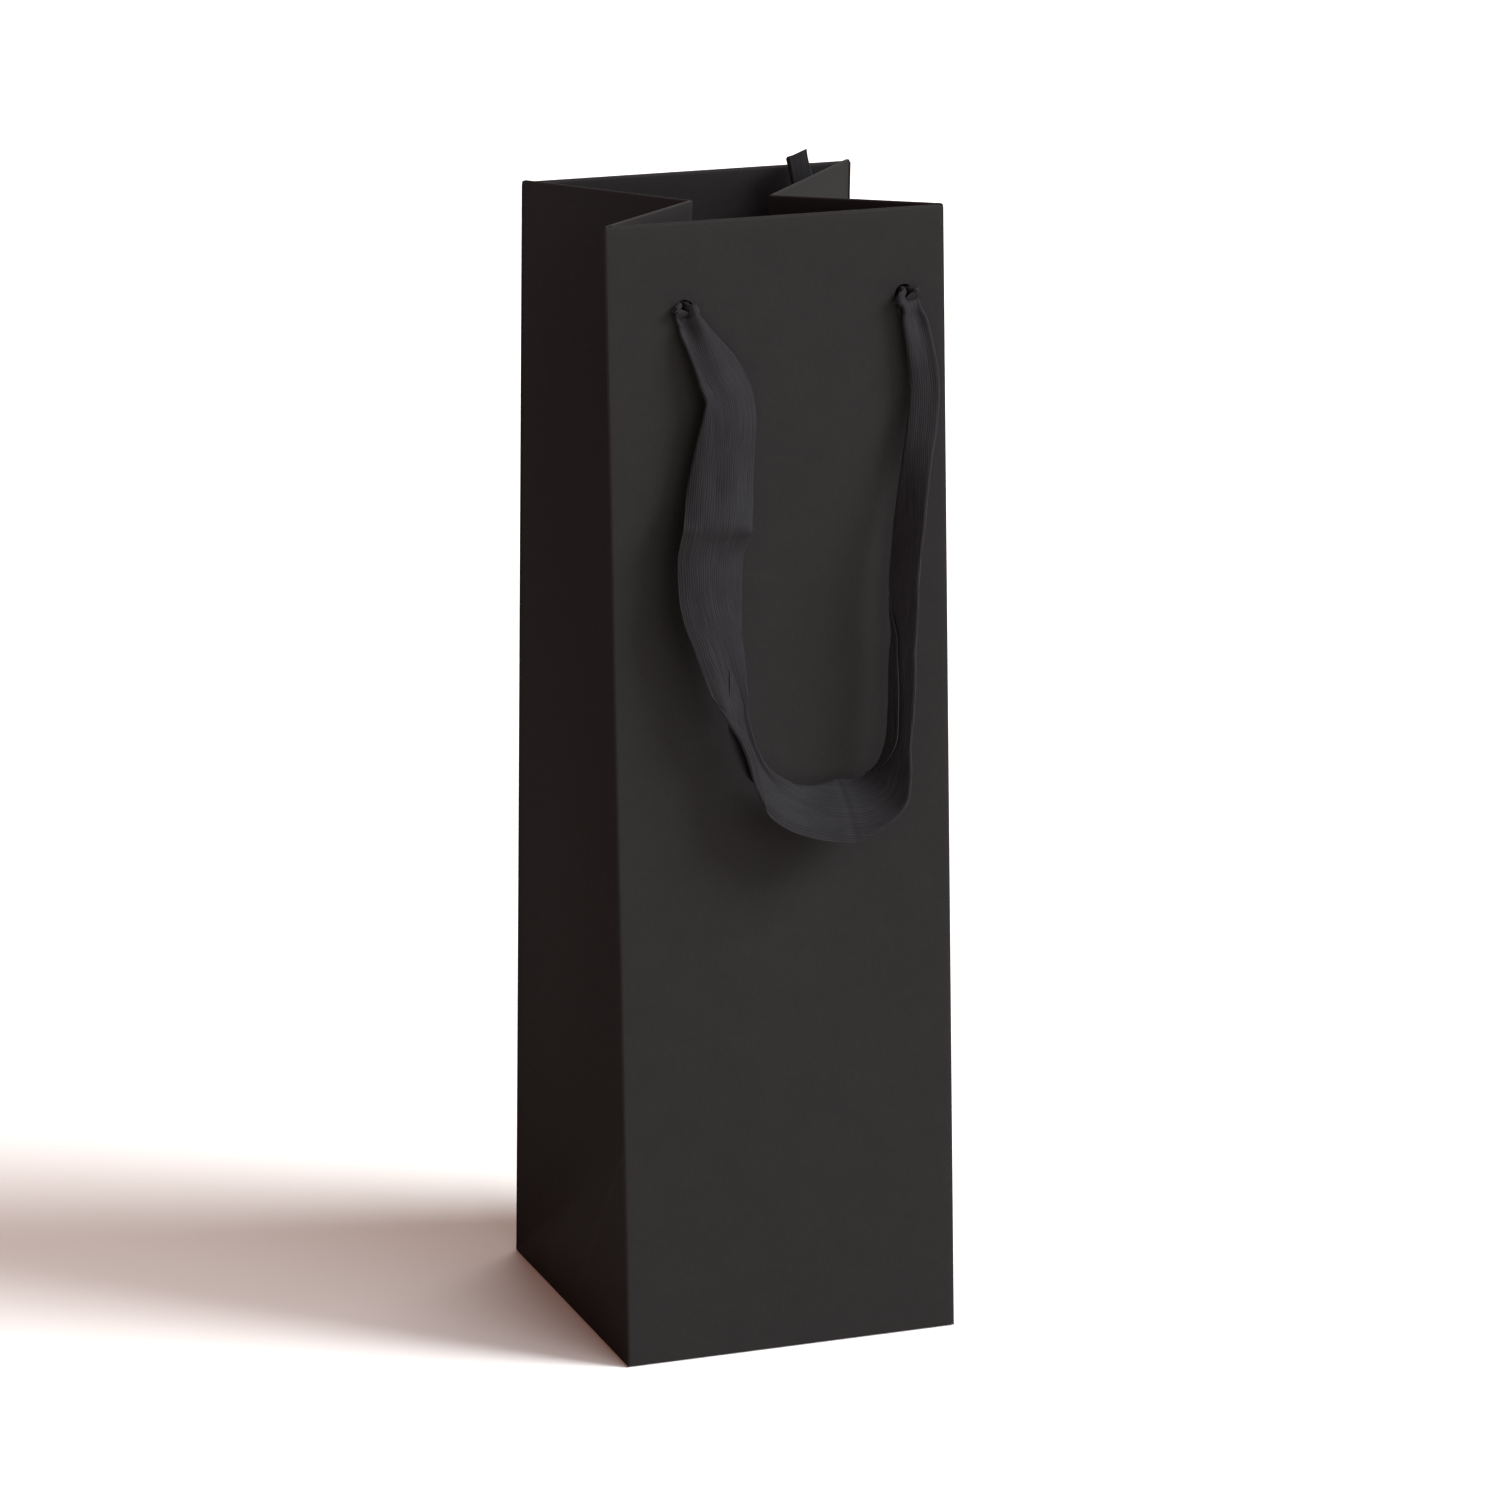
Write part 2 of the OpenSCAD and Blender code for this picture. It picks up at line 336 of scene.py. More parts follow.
def shell(middle, thickness, flip=False, meet=None):
    """Closed sheet of even thickness about a grid of points, as (verts, faces).

    meet is (column, axis): there both skins are drawn out along their rows until they lie in
    the plane where that coordinate is 0, so that two mirrored sheets meet in a mitre."""
    rows, cols = middle.shape[:2]
    normal = unit(np.cross(np.gradient(middle, axis=0), np.gradient(middle, axis=1)))
    if flip:
        normal = -normal
    skins = [middle + normal * thickness / 2, middle - normal * thickness / 2]
    if meet is not None:
        col, axis = meet
        along = unit(middle[:, col] - middle[:, col - 1])
        for skin in skins:
            skin[:, col] -= along * (skin[:, col, axis] / along[:, axis])[:, None]
    verts = np.concatenate([skin.reshape(-1, 3) for skin in skins])
    half = rows * cols
    faces = []

    def quad(a, b, c, d):
        faces.append((a, b, c, d) if not flip else (d, c, b, a))

    for i in range(rows - 1):
        for j in range(cols - 1):
            a, b, c, d = i * cols + j, (i + 1) * cols + j, (i + 1) * cols + j + 1, i * cols + j + 1
            quad(a, b, c, d)
            quad(half + d, half + c, half + b, half + a)
    for i in range(rows - 1):
        a, b = i * cols, (i + 1) * cols
        quad(a, half + a, half + b, b)
        quad(b + cols - 1, half + b + cols - 1, half + a + cols - 1, a + cols - 1)
    last = (rows - 1) * cols
    for j in range(cols - 1):
        quad(j + 1, half + j + 1, half + j, j)
        quad(last + j, half + last + j, half + last + j + 1, last + j + 1)
    return verts, faces


def twice(values):
    """The same grid values for both skins of a shell."""
    flat = values.reshape(values.shape[0] * values.shape[1], *values.shape[2:])
    return np.concatenate([flat, flat])


def cut_holes(piece, rear):
    """Punches the two ribbon holes through a wall and its hem."""
    for name, x in HOLES.items():
        bpy.ops.mesh.primitive_cylinder_add(vertices=40, radius=HOLE_R, depth=12 * MM)
        cutter = bpy.context.object
        cutter.location = wall_point(x, HOLE_S, 0.0, rear)
        cutter.rotation_euler = (math.pi / 2 + (LEAN if rear else -LEAN), 0, 0)
        modifier = piece.modifiers.new(f"hole_{name}", "BOOLEAN")
        modifier.object = cutter
        modifier.operation = "DIFFERENCE"
        modifier.solver = "EXACT"
        bpy.context.view_layer.objects.active = piece
        bpy.ops.object.modifier_apply(modifier=modifier.name)
        bpy.data.objects.remove(cutter)


# ---------------------------------------------------------------- paper walls
def wall_point(x, s, d, rear=False):
    """A point x across a wall, s up along it and d out of its face."""
    y = -HALF_D + s * math.sin(LEAN) - d * math.cos(LEAN)
    z = s * math.cos(LEAN) + d * math.sin(LEAN)
    if np.ndim(x) or np.ndim(s) or np.ndim(d):
        x, y, z = np.broadcast_arrays(x, y, z)
        return np.stack([x, -y if rear else y, z], axis=-1)
    return Vector((x, -y if rear else y, z))


def smooth(t):
    """Eases from 0 to 1 as t goes from 0 to 1."""
    t = np.clip(t, 0, 1)
    return t * t * (3 - 2 * t)


SWELL = 0.55 * MM
RIPPLE = 0.25 * MM
# The lift of the sides at the floor, and the height over which it and the walls' own lift ease out
FOOT_LIFT = 0.16 * MM
FOOT_EASE = 2 * MM


def slack(x, s, rear):
    """How far a wall stands out of its plane: a slight, uneven swell."""
    across = np.cos(np.pi * x / (2 * HALF_W))
    along = np.sin(np.pi * np.clip(s / WALL_H, 0, 1))
    phase = 1.9 if rear else 0.4
    swell = SWELL * np.sin(2.6 * s / WALL_H * np.pi + phase) * across * along
    return swell + RIPPLE * np.sin(55 * x + 21 * s + phase) * across * along


def wall_sheet(rear):
    """Grid over one wall: up its face, over the top fold and down the hem behind the card."""
    face_rows, hem_rows, face_cols = 104, 14, 56
    base_r = 0.7 * MM
    fold_s = WALL_H - FOLD_R
    foot = np.radians(np.arange(90, 0, -18))
    rows = [(base_r * (1 - math.sin(a)), -base_r * (1 - math.cos(a)), 0.0) for a in foot]
    rows += [(s, 0.0, 0.0) for s in np.linspace(base_r, fold_s, face_rows)]
    for a in np.radians(np.arange(15, 181, 15)):
        rows.append((fold_s + FOLD_R * math.sin(a), -FOLD_R * (1 - math.cos(a)), smooth(a / np.pi)))
    rows += [(s, -2 * FOLD_R, 1.0) for s in np.linspace(fold_s, WALL_H - HEM_H, hem_rows)[1:]]
    s, d_row, inside = (np.array(column)[:, None] for column in zip(*rows))

    flat = HALF_W - PAPER / 2 - EDGE_R
    bend = np.radians(np.arange(80, 0, -16))
    edge = [(flat + EDGE_R * math.sin(a), -EDGE_R * (1 - math.cos(a))) for a in bend]
    cols = [(-x, d) for x, d in edge]
    cols += [(x, 0.0) for x in np.linspace(-flat, flat, face_cols)]
    cols += edge[::-1]
    x_col, d_col = (np.array(column)[None, :] for column in zip(*cols))

    hem_half = HALF_W - 2.6 * MM
    x = x_col * (1 - inside) + x_col / HALF_W * hem_half * inside
    d = d_row + d_col * (1 - inside) - PAPER / 2
    d = d + slack(x, s, rear) * (1 - smooth((s - WALL_H * 0.9) / (WALL_H * 0.07)))
    # The foot is lifted a little, so that its lower skin stays above the floor
    s = np.maximum(s, 0) + 0 * x + 0.9 * PAPER * (1 - smooth(s / FOOT_EASE))
    fold_row, fold_spread = len(foot) + face_rows + 5, 5.0
    # Crease mask for paler paper at the rim fold, the upright edges and the foot: rubbed wear and a painted
    # highlight.
    rim = np.exp(-(((np.arange(len(rows))[:, None] - fold_row) / fold_spread) ** 2)) * np.ones_like(x_col)
    side = np.exp(-((HALF_W - np.abs(x_col)) / (0.6 * MM)) ** 2) * (1 - inside)
    low = np.exp(-((s / (0.8 * MM)) ** 2)) * (1 - inside)
    crease = np.clip(0.75 * rim + 0.9 * side + 0.8 * low, 0, 1)
    return wall_point(x, s, d, rear), crease


def make_wall(rear, material):
    end = "rear" if rear else "front"
    middle, crease = wall_sheet(rear)
    verts, faces = shell(middle, PAPER, flip=rear)
    piece = make_piece(f"{end}_paper_wall", verts, faces, material, [("crease", twice(crease))])
    cut_holes(piece, rear)
    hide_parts(f"{end}_wall", f"{end}_top_hem")
    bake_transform(piece)
    return piece


# ---------------------------------------------------------------- folded sides
# In a bag corner's own frame (along the wall, along the side, up): the top of the corner's crease, the
# top of the side's middle crease, and the top of the triangle that folds in at the foot
REST_PINCH = math.sqrt(HALF_D**2 - (HALF_D - INSET) ** 2)
CORNER = np.array([0, INSET, math.sqrt(WALL_H**2 - INSET**2)])
TIP = np.array([REST_PINCH, HALF_D, math.sqrt(WALL_H**2 - REST_PINCH**2)])
FOOT = np.array([HALF_D * math.sin(FOOT_LEAN), HALF_D, HALF_D * math.cos(FOOT_LEAN)])


# How far the sides swell, and how far the faint line dents them where the flat bag was folded under
SIDE_SWELL = 0.9 * MM
FOLD_LINE = 0.22 * MM


def rung(k, f):
    """A point on a side's half, k up its creases and f from the wall's crease to the middle one."""
    k, f = np.broadcast_arrays(k, f)
    k, f = k[..., None], f[..., None]
    return CORNER * k * (1 - f) + (FOOT * (1 - k) + TIP * k) * f


def foot_point(m, f):
    """A point on the half triangle at the bottom, m up from the bottom crease to the diagonal one."""
    m, f = np.broadcast_arrays(m, f)
    m, f = m[..., None], f[..., None]
    return np.array([0, HALF_D, 0]) * f * (1 - m) + FOOT * f * m


def side_sheet(rear):
    """Grid over one quarter of the folded sides, in its corner's own frame, and its crease mask: rubbed
    wear and a painted highlight on the creases.
    """
    start = 0.35 * MM / HALF_D
    f = np.concatenate([[start, 0.012, 0.03], np.linspace(0.06, 0.94, 22), [0.97, 0.988, 1.0]])[None, :]
    m = np.array([0.0, 0.012, 0.04, 0.12, 0.25, 0.4, 0.55, 0.7, 0.85])[:, None]
    k = np.concatenate([[0], np.linspace(0.03, 1, 88)])[:, None]
    lower = foot_point(m, f)
    upper = rung(k, f)
    middle = np.concatenate([lower, upper])

    inward = unit(np.cross(np.gradient(middle, axis=1), np.gradient(middle, axis=0)))
    height = middle[..., 2]
    span = np.sin(np.pi * f) ** 2
    phase = 2.3 if rear else 0.7
    slack_side = SIDE_SWELL * np.sin(height / WALL_H * 7 + phase) * span * smooth(height / (80 * MM))
    fold_line = FOLD_LINE * np.exp(-(((height - HALF_D) / (0.9 * MM)) ** 2)) * span
    top_quiet = 1 - smooth((height - WALL_H * 0.88) / (WALL_H * 0.1))
    middle = middle + inward * (PAPER / 2 + (slack_side + fold_line) * top_quiet)[..., None]
    # The foot is lifted a little, so that its lower skin stays above the floor
    middle[..., 2] += FOOT_LIFT * (1 - smooth(height / FOOT_EASE))
    # Paler at the creases and along the fold line: rubbed wear and a painted highlight.
    wear_and_highlight = np.exp(-(((1 - f) / 0.012) ** 2)) + np.exp(-((f / 0.012) ** 2)) * 0.8 + 0 * height
    wear_and_highlight = wear_and_highlight + 0.14 * np.exp(-(((height - HALF_D) / (0.8 * MM)) ** 2))
    wear_and_highlight = np.clip(wear_and_highlight, 0, 1)

    radius = 0.42 * MM
    up = unit(middle[-1] - middle[-2])
    into = inward[-1]
    hem_start = 2.9 * MM / HALF_D
    rows, hem_wear_and_highlight = [], []
    for a in np.radians(np.arange(15, 181, 15)):
        share = smooth(a / np.pi)
        f_in = f[0] + (hem_start - start) * (1 - f[0]) * share
        line = rung(np.ones_like(f_in), f_in) + into * PAPER / 2
        rows.append(line + up * radius * math.sin(a) + into * radius * (1 - math.cos(a)))
        # The fold over the rim is paler too: rubbed wear and a painted highlight.
        hem_wear_and_highlight.append(np.full(f.shape[1], 0.7))
    f_in = f[0] + (hem_start - start) * (1 - f[0])
    for k_in in np.linspace(1, 1 - HEM_H / WALL_H, 12)[1:]:
        rows.append(rung(np.full_like(f_in, k_in), f_in) + into * (PAPER / 2 + 2 * radius))
        hem_wear_and_highlight.append(np.exp(-(((1 - f[0]) / 0.012) ** 2)))
    middle = np.concatenate([middle, np.array(rows)])
    return middle, np.concatenate([wear_and_highlight, np.array(hem_wear_and_highlight)])


def make_side(right, rear, material):
    quarter = f"{'rear' if rear else 'front'}_{'right' if right else 'left'}"
    middle, wear_and_highlight = side_sheet(rear)
    middle = middle + np.array([-HALF_W, -HALF_D, 0])
    middle = middle * np.array([-1 if right else 1, -1 if rear else 1, 1])
    verts, faces = shell(middle, PAPER, flip=right == rear, meet=(-1, 1))
    piece = make_piece(f"side_{quarter}", verts, faces, material, [("crease", twice(wear_and_highlight))])
    covered = [f"gusset_{quarter}", f"gusset_hem_{quarter}"]
    if not rear:
        covered.append(f"gusset_foot_{'right' if right else 'left'}")
    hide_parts(*covered)
    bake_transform(piece)
    return piece


def make_seam(material):
    """The glued side seam: a strip of the sheet along the left edge inside the rear wall."""
    near, far = 3.5 * MM, 17.5 * MM
    s = np.linspace(4 * MM, WALL_H - HEM_H - 1 * MM, 70)[:, None]
    x = np.linspace(-HALF_W + near, -HALF_W + far, 9)[None, :]
    lift = 0.25 * MM * smooth((x - x.min()) / (far - near)) * (0.4 + 0.6 * np.sin(s * 60) ** 2)
    middle = wall_point(x, s, slack(x, s, True) - PAPER * 1.55 - lift, True)
    verts, faces = shell(middle, 0.3 * MM, flip=True)
    # Paler along the seam's folded edge: rubbed wear and a painted highlight.
    crease = np.exp(-(((x.max() - x) / (0.9 * MM)) ** 2)) + 0 * s
    piece = make_piece("side_seam", verts, faces, material, [("crease", twice(crease))])
    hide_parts("seam_flap")
    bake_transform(piece)


# ---------------------------------------------------------------- ribbons
# How far the lower part of a loop hangs out from its stations: across, up and out
STAND_OFF = np.array([-1.5, 1.2, 4.2]) * MM
# It begins this far up the wall, and is complete this much lower
HANG_FROM = 306 * MM
HANG_OVER = 60 * MM
# The least gap between a hanging ribbon and its wall, away from the holes
LEAST_GAP = 0.3 * MM

# Stations of a hanging ribbon: its middle (across, up, out of the wall) in millimetres, the way from
# its rear edge to its front edge, how strongly it is gathered and cupped in radians, and the folds of
# its rear and front margins: degrees towards the wall (away from it if negative), and the place, from
# -1 (rear edge) to 1 (front). A place beyond the edge leaves that margin flat
STATIONS = [
    ((-30.0, 333.3, -4.5), (-1, 0, 0), 2.1, 0.0, (150, -1.1), (172, 1.1)),
    ((-30.0, 333.3, -2.0), (-1, 0, 0), 2.1, 0.0, (150, -1.1), (172, 1.1)),
    ((-30.0, 333.3, 0.2), (-1, 0, 0), 1.95, 0.0, (150, -1.1), (172, 1.1)),
    ((-29.8, 331.8, 2.0), (-1, -0.15, 0.08), 1.0, 0.3, (150, -0.46), (172, 0.40)),
    ((-28.4, 328.0, 2.6), (-1, -0.62, 0.14), 0.7, 0.3, (150, -0.50), (172, 0.40)),
    ((-25.0, 321.9, 3.3), (-1, -0.70, 0.14), 0.3, 0.2, (150, -0.75), (170, 0.35)),
    ((-20.8, 314.4, 4.0), (-1, -0.52, 0.14), 0.15, 0.2, (150, -1.0), (170, 0.40)),
    ((-17.7, 306.6, 4.8), (-1, -0.05, 0.12), 0.1, 0.3, (150, -1.1), (170, 0.55)),
    ((-17.7, 300.0, 5.4), (-1, 0.22, 0.10), 0.1, 0.35, (150, -1.1), (170, 0.72)),
    ((-19.3, 290.0, 5.4), (-1, 0.10, 0.02), 0.1, 0.4, (150, -1.1), (170, 0.86)),
    ((-21.0, 278.0, 5.4), (-1, 0.06, -0.04), 0.1, 0.4, (150, -1.1), (170, 1.0)),
    ((-22.3, 270.0, 7.0), (-1, 0.04, -0.05), 0.05, 0.35, (150, -1.1), (170, 1.1)),
    ((-23.0, 266.0, 7.6), (-1, 0.04, -0.05), 0.0, 0.25, (160, -1.1), (170, 1.1)),
    ((-23.6, 262.0, 6.2), (-1, 0.02, 0.0), 0.0, 0.25, (165, -1.1), (170, 1.1)),
    ((-24.3, 257.0, 5.0), (-1, 0.0, 0.05), 0.0, 0.35, (170, -1.1), (-170, 1.1)),
    ((-24.6, 249.0, 5.2), (-1, 0.0, 0.10), 0.0, 0.45, (172, -1.1), (-170, 1.1)),
    ((-24.2, 240.0, 5.4), (-1, 0.05, 0.18), 0.0, 0.40, (172, -0.95), (-170, 1.1)),
    ((-22.4, 229.5, 5.4), (-1, 0.1, 0.26), 0.1, 0.30, (172, -0.6), (-170, 1.1)),
    ((-19.0, 214.0, 5.4), (-1, 0.0, 0.40), 0.4, 0.25, (172, -0.3), (-170, 0.95)),
    ((-15.4, 202.0, 5.4), (-1, -0.2, 0.6), 0.8, 0.20, (172, -0.12), (-170, 0.75)),
    ((-11.6, 191.6, 5.2), (-0.9, -0.6, 0.7), 0.8, 0.15, (172, -0.15), (-170, 0.72)),
    ((-7.6, 184.0, 5.2), (-0.6, -1.0, 0.7), 0.5, 0.15, (172, -0.3), (-170, 0.8)),
    ((-1.6, 177.8, 5.4), (-0.25, -1.1, 0.8), 0.25, 0.15, (172, -0.45), (-170, 1.15)),
    ((6.4, 174.6, 5.6), (-0.05, -1.1, 0.8), 0.1, 0.20, (172, -0.65), (170, 1.15)),
    ((15.0, 173.8, 5.8), (0.05, -1.1, 0.8), 0.05, 0.20, (172, -0.92), (170, 1.15)),
    ((23.2, 174.8, 6.0), (0.3, -1.1, 0.9), 0.05, 0.20, (172, -1.15), (170, 0.8)),
    ((29.8, 178.0, 6.0), (0.7, -0.8, 1.0), 0.05, 0.15, (-170, -1.15), (170, 0.65)),
    ((33.6, 184.2, 6.0), (0.8, -0.3, 1.1), 0.05, 0.10, (-170, -0.8), (170, 0.45)),
    ((35.2, 192.6, 6.0), (0.8, 0.0, 1.1), 0.05, 0.10, (-170, -0.52), (170, 0.34)),
    ((36.4, 204.0, 6.0), (0.8, 0.0, 1.1), 0.05, 0.10, (-170, -0.52), (170, 0.32)),
    ((37.0, 216.0, 6.0), (0.9, 0.0, 1.1), 0.05, 0.10, (-170, -0.58), (170, 0.28)),
    ((37.3, 227.0, 6.0), (0.9, 0.0, 1.1), 0.05, 0.15, (-170, -0.72), (170, 0.10)),
    ((37.6, 236.5, 6.0), (1.0, 0.0, 1.1), 0.05, 0.20, (-170, -0.95), (168, -0.02)),
    ((38.1, 246.0, 6.2), (1.0, 0.0, 1.1), 0.0, 0.25, (-170, -1.1), (164, 0.0)),
    ((39.2, 257.0, 6.2), (1.0, 0.0, 1.1), 0.0, 0.25, (150, -1.1), (166, 0.02)),
    ((40.8, 269.0, 6.2), (1.1, 0.0, 1.05), 0.0, 0.25, (150, -0.9), (166, 0.10)),
    ((42.9, 282.0, 5.8), (1.4, 0.0, 0.85), 0.0, 0.25, (152, -0.6), (166, 0.28)),
    ((45.1, 294.0, 5.0), (1.7, 0.0, 0.6), 0.05, 0.2, (154, -0.48), (168, 0.40)),
    ((46.2, 305.0, 4.2), (1.8, 0.15, 0.5), 0.1, 0.2, (154, -0.44), (168, 0.42)),
    ((45.4, 315.5, 3.5), (1.9, 0.35, 0.3), 0.3, 0.25, (154, -0.42), (168, 0.42)),
    ((43.8, 325.2, 2.7), (1.9, 0.5, 0.2), 0.7, 0.3, (152, -0.42), (170, 0.42)),
    ((41.9, 331.6, 2.0), (1.9, 0.3, 0.1), 1.0, 0.3, (150, -0.46), (172, 0.40)),
    ((41.5, 333.3, 0.2), (1, 0, 0), 1.95, 0.0, (150, -1.1), (172, 1.1)),
    ((41.5, 333.3, -2.0), (1, 0, 0), 2.1, 0.0, (150, -1.1), (172, 1.1)),
    ((41.5, 333.3, -4.5), (1, 0, 0), 2.1, 0.0, (150, -1.1), (172, 1.1)),
]


def through(values, steps):
    """A smooth curve through rows of values, timed by the square roots of the gaps between places."""
    values = np.array(values, float)
    gaps = np.sqrt(np.linalg.norm(np.diff(values[:, :3], axis=0), axis=1))
    knots = np.concatenate([[0], np.cumsum(gaps)])
    slopes = np.gradient(values, knots, axis=0)
    at = np.linspace(0, knots[-1], steps)
    i = np.clip(np.searchsorted(knots, at, side="right") - 1, 0, len(knots) - 2)
    h = (knots[i + 1] - knots[i])[:, None]
    t = ((at - knots[i]) / h[:, 0])[:, None]
    return (
        (1 + 2 * t) * (1 - t) ** 2 * values[i]
        + t * (1 - t) ** 2 * h * slopes[i]
        + t**2 * (3 - 2 * t) * values[i + 1]
        + t**2 * (t - 1) * h * slopes[i + 1]
    )


def section(v, wide, gather, cup, rear, front):
    """A ribbon's cross-section, bent and folded but never stretched, as (sideways, inward) points."""
    rear_turn, rear_at, front_turn, front_at = *rear, *front
    rear_fold = smooth((rear_at - v) / FOLD_SOFT + 0.5)
    front_fold = smooth((v - front_at) / FOLD_SOFT + 0.5)
    angle = cup * v + gather * np.cos(PLEATS * np.pi * v + PLEAT_PHASE) * (1 - rear_fold) * (1 - front_fold)
    angle = angle - np.radians(rear_turn) * rear_fold + np.radians(front_turn) * front_fold
    way = np.stack([np.cos(angle), np.sin(angle)], axis=-1)
    steps = (way[:, 1:] + way[:, :-1]) / 2 * np.diff(v, axis=1)[..., None] * wide[..., None] / 2
    points = np.concatenate([np.zeros_like(steps[:, :1]), np.cumsum(steps, axis=1)], axis=1)
    return points - (points.max(axis=1, keepdims=True) + points.min(axis=1, keepdims=True)) / 2


def strip(rows, wide, steps, across):
    """Grid of a ribbon through its stations, in (across, up, out), with its weave coordinates."""
    table = [(*place, *way, gather, cup, *rear, *front) for place, way, gather, cup, rear, front in rows]
    table = through(table, steps)
    centre = table[:, :3]
    tangent = unit(np.gradient(centre, axis=0))
    way = unit(table[:, 3:6] - tangent * np.sum(table[:, 3:6] * tangent, axis=1, keepdims=True))
    face = np.cross(tangent, way)
    v = np.repeat(np.linspace(-1, 1, across)[None, :], steps, axis=0)
    gather, cup, *folds = (table[:, c][:, None] for c in range(6, 12))
    form = section(v, np.full_like(v[:, :1], wide), gather, cup, folds[:2], folds[2:])
    grid = centre[:, None] + way[:, None] * form[..., :1] + face[:, None] * form[..., 1:]
    length = np.concatenate([[0], np.cumsum(np.linalg.norm(np.diff(centre, axis=0), axis=1))])
    weave = np.zeros_like(grid)
    weave[..., 0] = v * wide / 2 * MM
    weave[..., 1] = length[:, None] * MM
    return grid * MM, weave


def make_strip(name, rows, wide, steps, across, rear, material, trim):
    """A piece of ribbon through its stations, its grid shaped by trim, and that route's length."""
    grid, weave = strip(rows, wide, steps, across)
    grid = trim(grid)
    middle = wall_point(grid[..., 0], grid[..., 1], grid[..., 2], rear)
    verts, faces = shell(middle, RIBBON, flip=rear)
    selvage = np.exp(-(((wide / 2 * MM - np.abs(weave[..., 0])) / (0.5 * MM)) ** 2))
    fields = [("weave", twice(weave)), ("selvage", twice(selvage))]
    return make_piece(name, verts, faces, material, fields, 60), float(weave[..., 1].max())


def hang_out(grid):
    """Hangs a loop further out of its wall lower down, where the stiff ribbon stands clear of it."""
    share = smooth((HANG_FROM - grid[..., 1].mean(axis=1)) / HANG_OVER)
    return grid + share[:, None, None] * STAND_OFF


def off_wall(grid, rear):
    """Lifts a hanging ribbon, row by row, until no part of it is in the wall, except at its holes."""
    gap = (grid[..., 2] - slack(grid[..., 0], grid[..., 1], rear)).min(axis=1)
    free = smooth((HOLE_S - 2 * MM - grid[..., 1].mean(axis=1)) / (3 * MM))
    need = np.maximum(0, RIBBON / 2 + LEAST_GAP - gap) * free
    reach = 6
    need = np.array([need[max(0, i - reach) : i + reach + 1].max() for i in range(len(need))])
    need = np.convolve(np.pad(need, reach, "edge"), np.ones(2 * reach + 1) / (2 * reach + 1), "valid")
    return grid + (need * free)[:, None, None] * np.array([0, 0, 1])


# Points along and across the mesh of a loop and of a cut end
LOOP_STEPS, LOOP_ACROSS = 460, 81
TAIL_STEPS, TAIL_ACROSS = 60, 61


def make_ribbon(rear, material):
    end = "rear" if rear else "front"
    piece, length = make_strip(
        f"{end}_ribbon", STATIONS, RIBBON_W / MM, LOOP_STEPS, LOOP_ACROSS, rear, material,
        lambda grid: off_wall(hang_out(grid), rear),
    )
    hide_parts(f"{end}_handle")
    start = wall_point(0.0, HOLE_S - 1 * MM, 0.0, rear)
    stop = wall_point(0.0, HOLE_S - 12 * MM, 0.0, rear)
    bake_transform(piece)


# Each cut end behind its knot: which hole, its turn from upright in degrees, and its length in mm
TAILS = {
    ("front", "left"): (172, 22.0),
    ("front", "right"): (200, 22.0),
    ("rear", "left"): (176, 22.0),
    ("rear", "right"): (-14, 32.5),
}
# A knot in mm: how far out of the wall a cut end starts (behind it if negative), the most the knot's
# half size may be, how its path is pulled tight, and its tube's half thickness outward and sideways
KNOT_OUT = -5.9
KNOT_HALF = 3.8
KNOT_PULL = np.array([0.86, 0.86, 1.15])
TUBE_OUT, TUBE_SIDE = 0.95, 1.45
# Along a cut end: the share of its length, how strongly it is gathered, and where its margins fold
TAIL_FORM = [(0.06, 2.1, 1.1), (0.2, 1.8, 0.8), (0.45, 1.0, 0.5), (0.72, 0.4, 0.39), (1.0, 0.15, 0.36)]


def tail_stations(hole_x, turn, length):
    """Stations of a cut end that leaves its knot and opens out, still folded in three."""
    a = math.radians(turn)
    rows = []
    for share, gather, edge in TAIL_FORM:
        x = hole_x / MM + math.sin(a) * share * length
        s = HOLE_S / MM + math.cos(a) * share * length
        d = KNOT_OUT - 1.6 * smooth(share * 2)
        way = (math.cos(a), -math.sin(a), 0.25)
        rows.append(((x, s, d), way, gather, 0.1, (168, -edge), (-168, edge)))
    return rows


def slant(grid):
    """Cuts the end of a strip off at a slant."""
    reach = np.linspace(0, 1, grid.shape[0])[:, None, None] ** 3
    way = grid[-1] - grid[-2]
    way = way / np.linalg.norm(way, axis=-1, keepdims=True)
    lean = np.linspace(0.9, -0.9, grid.shape[1])[:, None] * MM
    return grid + reach * way * lean


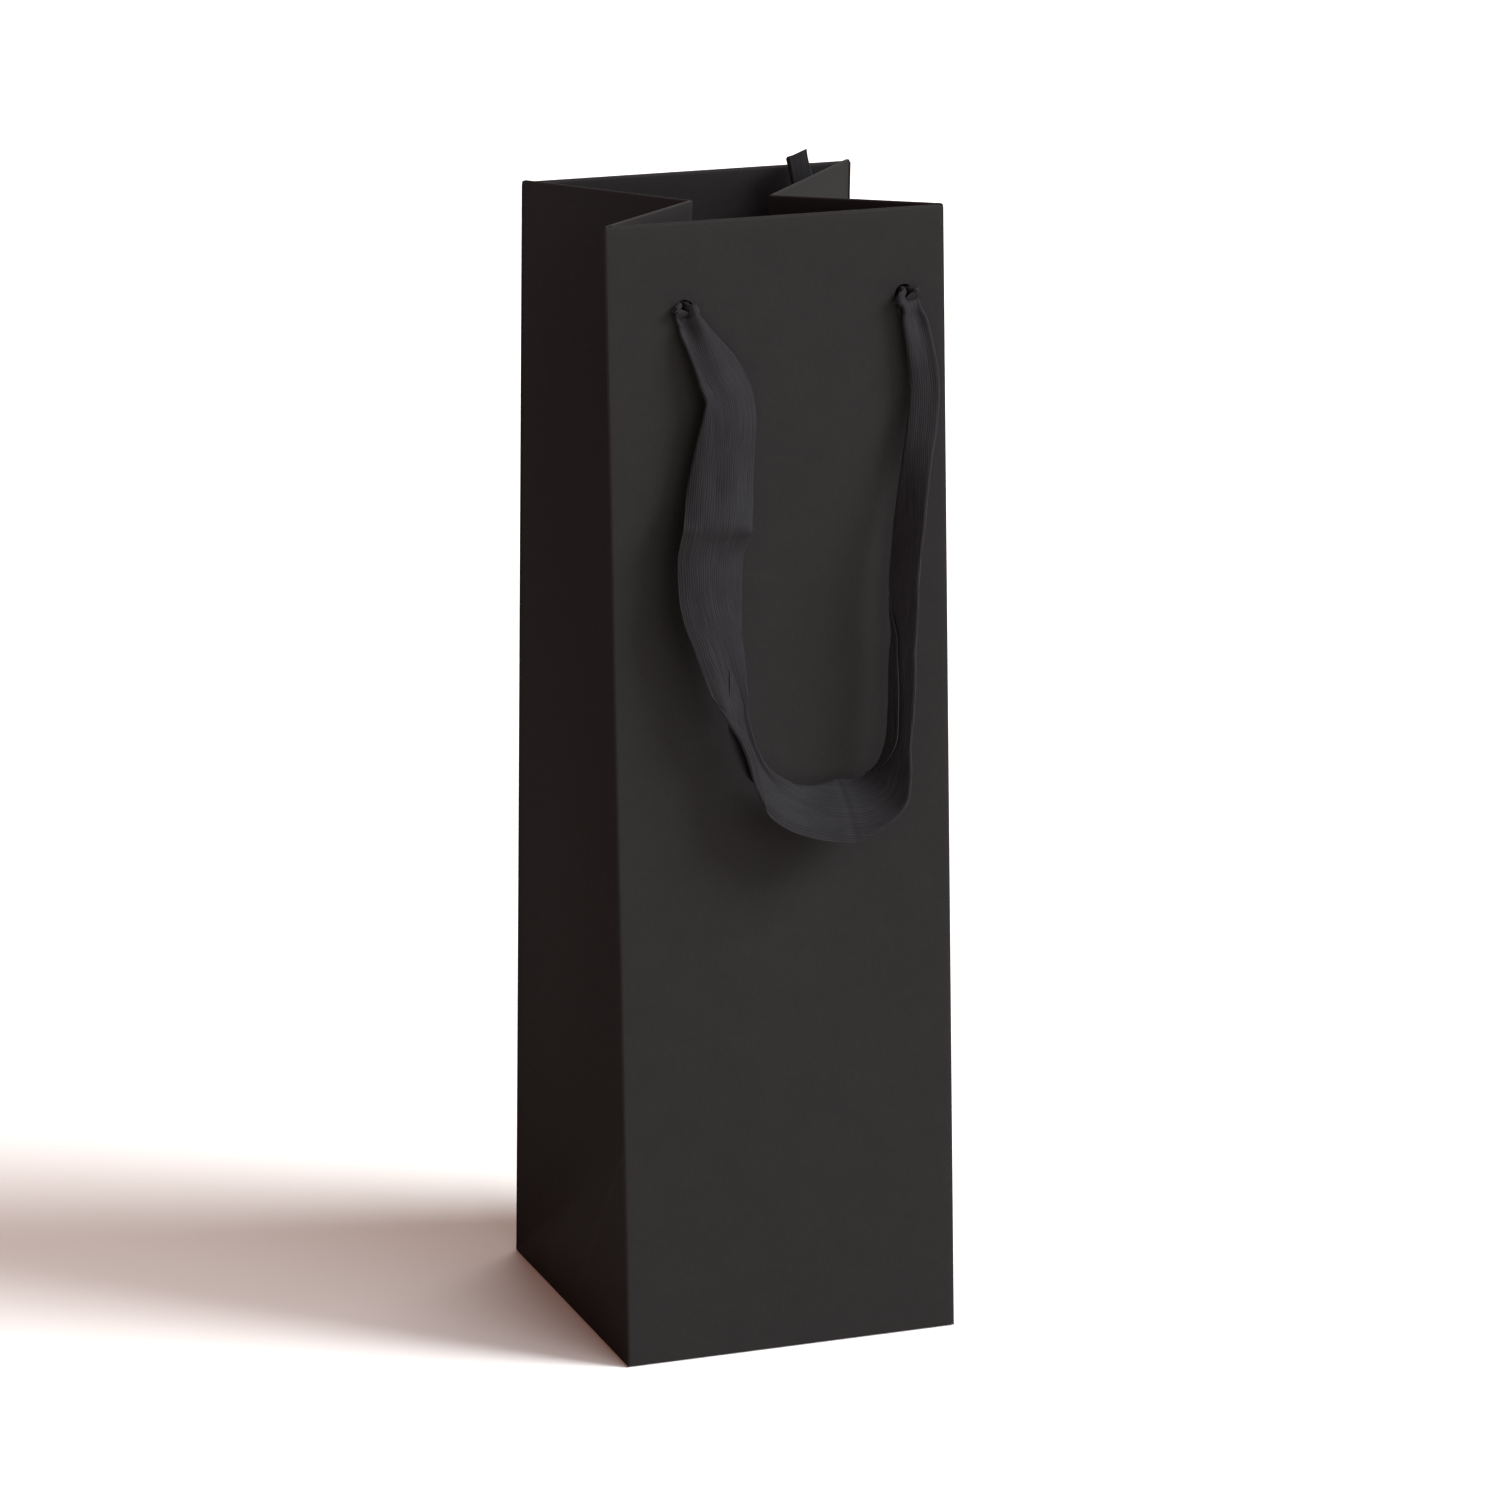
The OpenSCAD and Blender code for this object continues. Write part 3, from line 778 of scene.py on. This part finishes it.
def make_knot(end, side, material):
    """An overhand knot in the gathered ribbon, a trefoil tube pulled tight, and its cut end."""
    rear = end == "rear"
    hole_x = HOLES[side]
    turn, length = TAILS[(end, side)]
    around, loops = 14, 150
    t = np.linspace(0, 2 * np.pi, loops, endpoint=False)
    path = np.stack(
        [np.sin(t) + 2 * np.sin(2 * t), np.cos(t) - 2 * np.cos(2 * t), -1.15 * np.sin(3 * t)], axis=1
    )
    path = path * KNOT_PULL
    tangent = unit(np.roll(path, -1, axis=0) - np.roll(path, 1, axis=0))
    outward = unit(path - tangent * np.sum(path * tangent, axis=1, keepdims=True))
    side_way = np.cross(tangent, outward)
    angle = np.linspace(0, 2 * np.pi, around, endpoint=False)[None, :, None]
    ridges = 1 + 0.10 * np.cos(5 * angle + 3 * t[:, None, None])
    ring = outward[:, None] * np.cos(angle) * TUBE_OUT + side_way[:, None] * np.sin(angle) * TUBE_SIDE
    grid = path[:, None] + ring * ridges
    grid = grid * min(1.0, KNOT_HALF / np.abs(grid).max())
    local = grid * MM + np.array([hole_x, HOLE_S, (KNOT_OUT + 0.2) * MM])
    points = wall_point(local[..., 0], local[..., 1], local[..., 2], rear).reshape(-1, 3)
    faces = []
    for i in range(loops):
        for j in range(around):
            i2, j2 = (i + 1) % loops, (j + 1) % around
            face = (i * around + j, i2 * around + j, i2 * around + j2, i * around + j2)
            faces.append(face if not rear else face[::-1])
    weave = np.stack(np.broadcast_arrays(angle[..., 0] * 1.6 * MM, t[:, None] * 6 * MM, 0.0), axis=-1)
    fields = [("weave", weave.reshape(-1, 3)), ("selvage", np.zeros(len(points)))]
    knot = make_piece(f"{end}_knot_{side}_ribbon", points, faces, material, fields, 60)
    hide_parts(f"{end}_knot_{side}")
    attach(knot, f"{end}_wall")
    stations = tail_stations(hole_x, turn, length)
    tail, reach = make_strip(
        f"{end}_tail_{side}", stations, RIBBON_W / MM, TAIL_STEPS, TAIL_ACROSS, rear, material, slant
    )
    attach(tail, f"{end}_wall")


# ---------------------------------------------------------------- the whole bag
def paint(node, material):
    """Gives a CAD node a better material, in its object's own slot."""
    obj = frame["nodes"][node]
    if not obj.material_slots:
        obj.data.materials.append(material)
    for slot in obj.material_slots:
        slot.material = material


def make_floor():
    bpy.ops.mesh.primitive_plane_add(size=14, location=(0, 0, -0.2 * MM))
    floor = bpy.context.object
    floor.name = "floor"
    floor.data.materials.append(floor_material())


def make_bag():
    paper = paper_material("paper", (0.0138, 0.0121, 0.0121), (0.0153, 0.0134, 0.0134))
    ribbon = ribbon_material()
    card = card_material("card", (0.30, 0.26, 0.20), (0.42, 0.37, 0.29))
    for rear in (False, True):
        make_wall(rear, paper)
        make_ribbon(rear, ribbon)
        for right in (False, True):
            make_side(right, rear, paper)
    make_seam(paper)
    for end, side in TAILS:
        make_knot(end, side, ribbon)
    for node in ("front_stiffening_card", "rear_stiffening_card", "base_board"):
        paint(node, card)
    for name in ("front", "rear", "left", "right"):
        paint(f"bottom_flap_{name}", paper)


make_camera()
make_lights()
make_floor()
make_bag()
